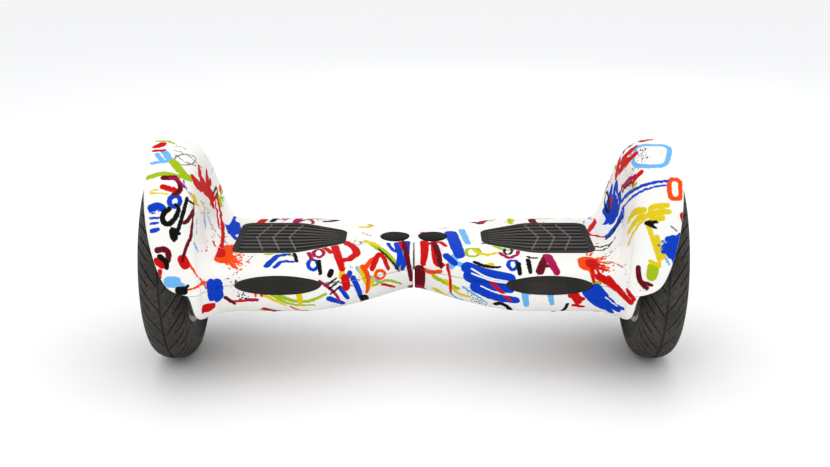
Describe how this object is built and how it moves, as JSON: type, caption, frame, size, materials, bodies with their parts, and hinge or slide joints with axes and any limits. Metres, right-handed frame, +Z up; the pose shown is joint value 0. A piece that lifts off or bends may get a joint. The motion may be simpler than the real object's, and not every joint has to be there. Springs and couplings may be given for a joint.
{
  "type": "self-balancing hoverboard",
  "caption": "Two-wheeled self-balancing board: white shells with paint splashes, ribbed foot pads, fenders over fat tyres, and a waist that twists.",
  "frame": {"origin": "on the floor under the middle of the board, midway between the wheels", "axes": "+X along the board to the rider's-eye right in the picture, -Y towards the front, +Z up; the axle line is parallel to X at z 0.127 m"},
  "size_m": [0.646, 0.297, 0.2758],
  "materials": {
    "shell_white": "gloss",
    "pad_rubber": "matte",
    "tyre_rubber": "matte",
    "rim_metal": "satin",
    "cast_metal": "satin",
    "steel": "satin",
    "screw_steel": "satin",
    "motor_iron": "matte",
    "copper_wire": "satin",
    "bush_plastic": "satin",
    "window_black": "gloss",
    "fitting_black": "satin",
    "cap_rubber": "matte",
    "battery_wrap": "satin",
    "board_green": "satin"
  },
  "bodies": {
    "left_half": {"left_upper_shell": "shell_white", "left_lower_shell": "shell_white", "left_chassis": "cast_metal", "left_axle": "steel", "left_stator": "motor_iron", "left_coils": "copper_wire", "left_axle_clamp": "cast_metal", "left_clamp_screws": "screw_steel", "left_gyro_board": "board_green", "left_foot_switches": "fitting_black", "left_window": "window_black", "left_front_light": "window_black", "left_rear_light": "window_black", "left_shell_screws": "screw_steel", "left_loom": "cap_rubber", "centre_tube": "steel", "retaining_ring": "steel", "battery_pack": "battery_wrap", "battery_bracket": "cast_metal"},
    "right_half": {"right_upper_shell": "shell_white", "right_lower_shell": "shell_white", "right_chassis": "cast_metal", "right_axle": "steel", "right_stator": "motor_iron", "right_coils": "copper_wire", "right_axle_clamp": "cast_metal", "right_clamp_screws": "screw_steel", "right_gyro_board": "board_green", "right_foot_switches": "fitting_black", "right_window": "window_black", "right_front_light": "window_black", "right_rear_light": "window_black", "right_shell_screws": "screw_steel", "right_loom": "cap_rubber", "pivot_bushes": "bush_plastic", "main_board": "board_green", "charging_socket": "fitting_black"},
    "left_wheel": {"left_rim": "rim_metal", "left_magnets": "motor_iron", "left_inner_cover": "rim_metal", "left_outer_cover": "rim_metal", "left_bearings": "steel", "left_tyre": "tyre_rubber", "left_valve": "cap_rubber", "left_cover_screws": "screw_steel"},
    "right_wheel": {"right_rim": "rim_metal", "right_magnets": "motor_iron", "right_inner_cover": "rim_metal", "right_outer_cover": "rim_metal", "right_bearings": "steel", "right_tyre": "tyre_rubber", "right_valve": "cap_rubber", "right_cover_screws": "screw_steel"},
    "left_pad": {"left_foot_pad": "pad_rubber"},
    "right_pad": {"right_foot_pad": "pad_rubber"},
    "button": {"power_button": "fitting_black"},
    "cap": {"port_cap": "cap_rubber"}
  },
  "joints": [
    {"name": "centre_twist", "type": "hinge", "parent": "left_half", "child": "right_half", "pos_m": [0, 0, 0.127], "axis": [1, 0, 0], "range_deg": [-12, 12]},
    {"name": "left_wheel_spin", "type": "hinge", "parent": "left_half", "child": "left_wheel", "pos_m": [-0.2955, 0, 0.127], "axis": [1, 0, 0], "continuous": true},
    {"name": "right_wheel_spin", "type": "hinge", "parent": "right_half", "child": "right_wheel", "pos_m": [0.2955, 0, 0.127], "axis": [1, 0, 0], "continuous": true},
    {"name": "left_pad_press", "type": "slide", "parent": "left_half", "child": "left_pad", "axis": [0, 0, -1], "range_m": [0, 0.0015], "stiffness_N_per_m": 3000, "springref_m": -0.001},
    {"name": "right_pad_press", "type": "slide", "parent": "right_half", "child": "right_pad", "axis": [0, 0, -1], "range_m": [0, 0.0015], "stiffness_N_per_m": 3000, "springref_m": -0.001},
    {"name": "power_press", "type": "slide", "parent": "right_half", "child": "button", "axis": [0, -1, 0], "range_m": [0, 0.0015], "stiffness_N_per_m": 600, "springref_m": -0.001},
    {"name": "cap_hinge", "type": "hinge", "parent": "right_half", "child": "cap", "pos_m": [0.135, 0.10952, 0.0895], "axis": [-1, 0, 0], "range_deg": [0, 100], "stiffness_Nm_per_rad": 0.01}
  ]
}
